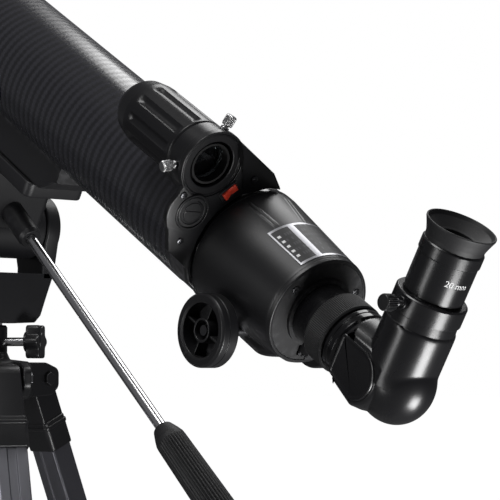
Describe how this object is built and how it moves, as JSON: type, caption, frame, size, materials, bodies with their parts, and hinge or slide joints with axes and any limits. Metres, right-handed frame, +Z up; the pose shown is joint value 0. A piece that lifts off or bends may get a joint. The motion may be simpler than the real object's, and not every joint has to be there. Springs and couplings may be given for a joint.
{
  "type": "refractor telescope",
  "caption": "Small altitude-azimuth refractor with a star diagonal, eyepiece, lit finder and pan handle on a folding tripod.",
  "frame": {"origin": "on the floor, at the centre of the outline seen from above, tube raised and legs spread", "axes": "+Z up, +Y the way the front of the tube points, -X the side with the finder"},
  "size_m": [0.465, 0.6966, 0.9653],
  "materials": {
    "carbon_wrap": "woven carbon-look wrap, satin",
    "black_paint": "satin black",
    "black_plastic": "fine texture",
    "gloss_black": "gloss black",
    "label_film": "printed film",
    "optical_glass": "coated",
    "mirror_coat": "front coated",
    "bright_chrome": "polished",
    "plain_steel": "plain",
    "rack_brass": "milled",
    "red_plastic": "moulded",
    "black_rubber": "matt",
    "leg_aluminium": "dark anodised"
  },
  "bodies": {
    "tripod": {"tripod_crown": "black_plastic"},
    "head": {"azimuth_post": "black_paint", "mount_head": "black_paint", "altitude_axle": "plain_steel"},
    "optical_tube": {"main_tube": "carbon_wrap", "dew_shield": "black_paint", "objective_cell": "black_plastic", "objective_crown": "optical_glass", "objective_flint": "optical_glass", "lens_ring": "black_plastic", "tube_baffles": "black_plastic", "rear_ring": "gloss_black", "focuser_housing": "black_plastic", "rear_cover": "black_plastic", "spec_label": "label_film", "finder_bracket": "black_plastic", "battery_cell": "plain_steel", "finder_shell": "black_plastic", "finder_collar": "black_plastic", "small_screws": "plain_steel", "tube_saddle": "black_paint", "tilt_block": "black_paint"},
    "pan_handle": {"pan_rod": "bright_chrome", "pan_grip": "black_rubber"},
    "azimuth_lock": {"lock_knob": "black_plastic"},
    "focus_tube": {"drawtube": "gloss_black", "focus_rack": "rack_brass"},
    "focus_pinion": {"pinion_shaft": "bright_chrome", "focus_knob_left": "black_plastic", "focus_knob_right": "black_plastic"},
    "lock_ring": {"drawtube_ring": "black_plastic"},
    "diagonal": {"diagonal_nose": "black_plastic", "diagonal_body": "black_plastic", "diagonal_cover": "black_plastic", "diagonal_mirror": "mirror_coat"},
    "eyepiece_screw": {"diagonal_screw": "bright_chrome"},
    "eyepiece": {"eyepiece_barrel": "bright_chrome", "eyepiece_body": "black_plastic", "eyepiece_lenses": "optical_glass", "eyecup": "black_rubber"},
    "finder_scope": {"finder_tube": "black_plastic", "finder_lenses": "optical_glass"},
    "finder_screw_a": {"finder_screw_top": "bright_chrome"},
    "finder_screw_b": {"finder_screw_left": "bright_chrome"},
    "finder_spring_pin": {"finder_plunger": "plain_steel"},
    "battery_lid": {"battery_cover": "black_plastic"},
    "switch": {"power_switch": "red_plastic"},
    "leg_1": {"leg_head_1": "black_plastic", "leg_sleeve_1": "leg_aluminium"},
    "leg_foot_slide_1": {"leg_slide_1": "leg_aluminium", "leg_foot_1": "black_rubber"},
    "leg_2": {"leg_head_2": "black_plastic", "leg_sleeve_2": "leg_aluminium"},
    "leg_foot_slide_2": {"leg_slide_2": "leg_aluminium", "leg_foot_2": "black_rubber"},
    "leg_3": {"leg_head_3": "black_plastic", "leg_sleeve_3": "leg_aluminium"},
    "leg_foot_slide_3": {"leg_slide_3": "leg_aluminium", "leg_foot_3": "black_rubber"}
  },
  "joints": [
    {"name": "azimuth", "type": "hinge", "parent": "tripod", "child": "head", "pos_m": [-0.04633, 0.11359, 0.593], "axis": [0, 0, 1], "continuous": true},
    {"name": "altitude", "type": "hinge", "parent": "head", "child": "optical_tube", "pos_m": [-0.04633, 0.11359, 0.66], "axis": [1, 0, 0], "range_deg": [-40, 26]},
    {"name": "handle_twist", "type": "hinge", "parent": "optical_tube", "child": "pan_handle", "pos_m": [-0.04633, 0.06259, 0.6478], "axis": [0, -0.7593, -0.6508], "continuous": true},
    {"name": "azimuth_lock_turn", "type": "hinge", "parent": "tripod", "child": "azimuth_lock", "pos_m": [-0.04633, 0.11359, 0.5795], "axis": [0.6428, -0.766, 0], "range_deg": [-30, 330]},
    {"name": "focus_slide", "type": "slide", "parent": "optical_tube", "child": "focus_tube", "axis": [0, -0.8526, -0.5225], "range_m": [-0.012, 0.058]},
    {"name": "focus_turn", "type": "hinge", "parent": "optical_tube", "child": "focus_pinion", "pos_m": [-0.04633, -0.1775, 0.5819], "axis": [-1, 0, 0], "range_deg": [-556, 117]},
    {"name": "lock_ring_turn", "type": "hinge", "parent": "focus_tube", "child": "lock_ring", "pos_m": [-0.04633, -0.24282, 0.5794], "axis": [0, 0.8526, 0.5225], "range_deg": [-90, 90]},
    {"name": "diagonal_turn", "type": "hinge", "parent": "focus_tube", "child": "diagonal", "pos_m": [-0.04633, -0.25646, 0.57104], "axis": [0, 0.8526, 0.5225], "continuous": true},
    {"name": "eyepiece_screw_turn", "type": "hinge", "parent": "diagonal", "child": "eyepiece_screw", "pos_m": [-0.06633, -0.30761, 0.59423], "axis": [-1, 0, 0], "range_deg": [-30, 330]},
    {"name": "eyepiece_slide", "type": "slide", "parent": "diagonal", "child": "eyepiece", "axis": [0, -0.5225, 0.8526], "range_m": [0, 0.045]},
    {"name": "finder_aim", "type": "hinge", "parent": "optical_tube", "child": "finder_scope", "pos_m": [-0.09533, -0.12419, 0.71308], "axis": [-1, 0, 0], "range_deg": [-0.1, 0.1]},
    {"name": "finder_screw_top_turn", "type": "hinge", "parent": "optical_tube", "child": "finder_screw_a", "pos_m": [-0.09533, -0.18259, 0.67729], "axis": [0.2756, -0.5023, 0.8196], "range_deg": [-180, 180]},
    {"name": "finder_screw_left_turn", "type": "hinge", "parent": "optical_tube", "child": "finder_screw_b", "pos_m": [-0.09533, -0.18259, 0.67729], "axis": [-0.9703, 0.1264, -0.2063], "range_deg": [-180, 180]},
    {"name": "finder_spring_travel", "type": "slide", "parent": "optical_tube", "child": "finder_spring_pin", "axis": [0.6947, 0.3759, -0.6133], "range_m": [0, 0.0015], "stiffness_N_per_m": 400},
    {"name": "battery_lid_turn", "type": "hinge", "parent": "optical_tube", "child": "battery_lid", "pos_m": [-0.09793, -0.17453, 0.64787], "axis": [0, 0.8526, 0.5225], "range_deg": [0, 45]},
    {"name": "switch_rock", "type": "hinge", "parent": "optical_tube", "child": "switch", "pos_m": [-0.07723, -0.18016, 0.66166], "axis": [0.7547, 0.3428, -0.5594], "range_deg": [-6, 6]},
    {"name": "leg_1_fold", "type": "hinge", "parent": "tripod", "child": "leg_1", "pos_m": [-0.06001, 0.076, 0.554], "axis": [0.9397, -0.342, 0], "range_deg": [0, 22]},
    {"name": "leg_1_extend", "type": "slide", "parent": "leg_1", "child": "leg_foot_slide_1", "axis": [-0.1336, -0.3672, -0.9205], "range_m": [0, 0.4]},
    {"name": "leg_2_fold", "type": "hinge", "parent": "tripod", "child": "leg_2", "pos_m": [-0.00694, 0.12054, 0.554], "axis": [-0.1736, 0.9848, 0], "range_deg": [0, 22]},
    {"name": "leg_2_extend", "type": "slide", "parent": "leg_2", "child": "leg_foot_slide_2", "axis": [0.3848, 0.0678, -0.9205], "range_m": [0, 0.4]},
    {"name": "leg_3_fold", "type": "hinge", "parent": "tripod", "child": "leg_3", "pos_m": [-0.07204, 0.14423, 0.554], "axis": [-0.766, -0.6428, 0], "range_deg": [0, 22]},
    {"name": "leg_3_extend", "type": "slide", "parent": "leg_3", "child": "leg_foot_slide_3", "axis": [-0.2512, 0.2993, -0.9205], "range_m": [0, 0.4]}
  ],
  "couplings": [
    {"joint": "focus_turn", "follows": "focus_slide", "rad_per_m": -166.67}
  ]
}
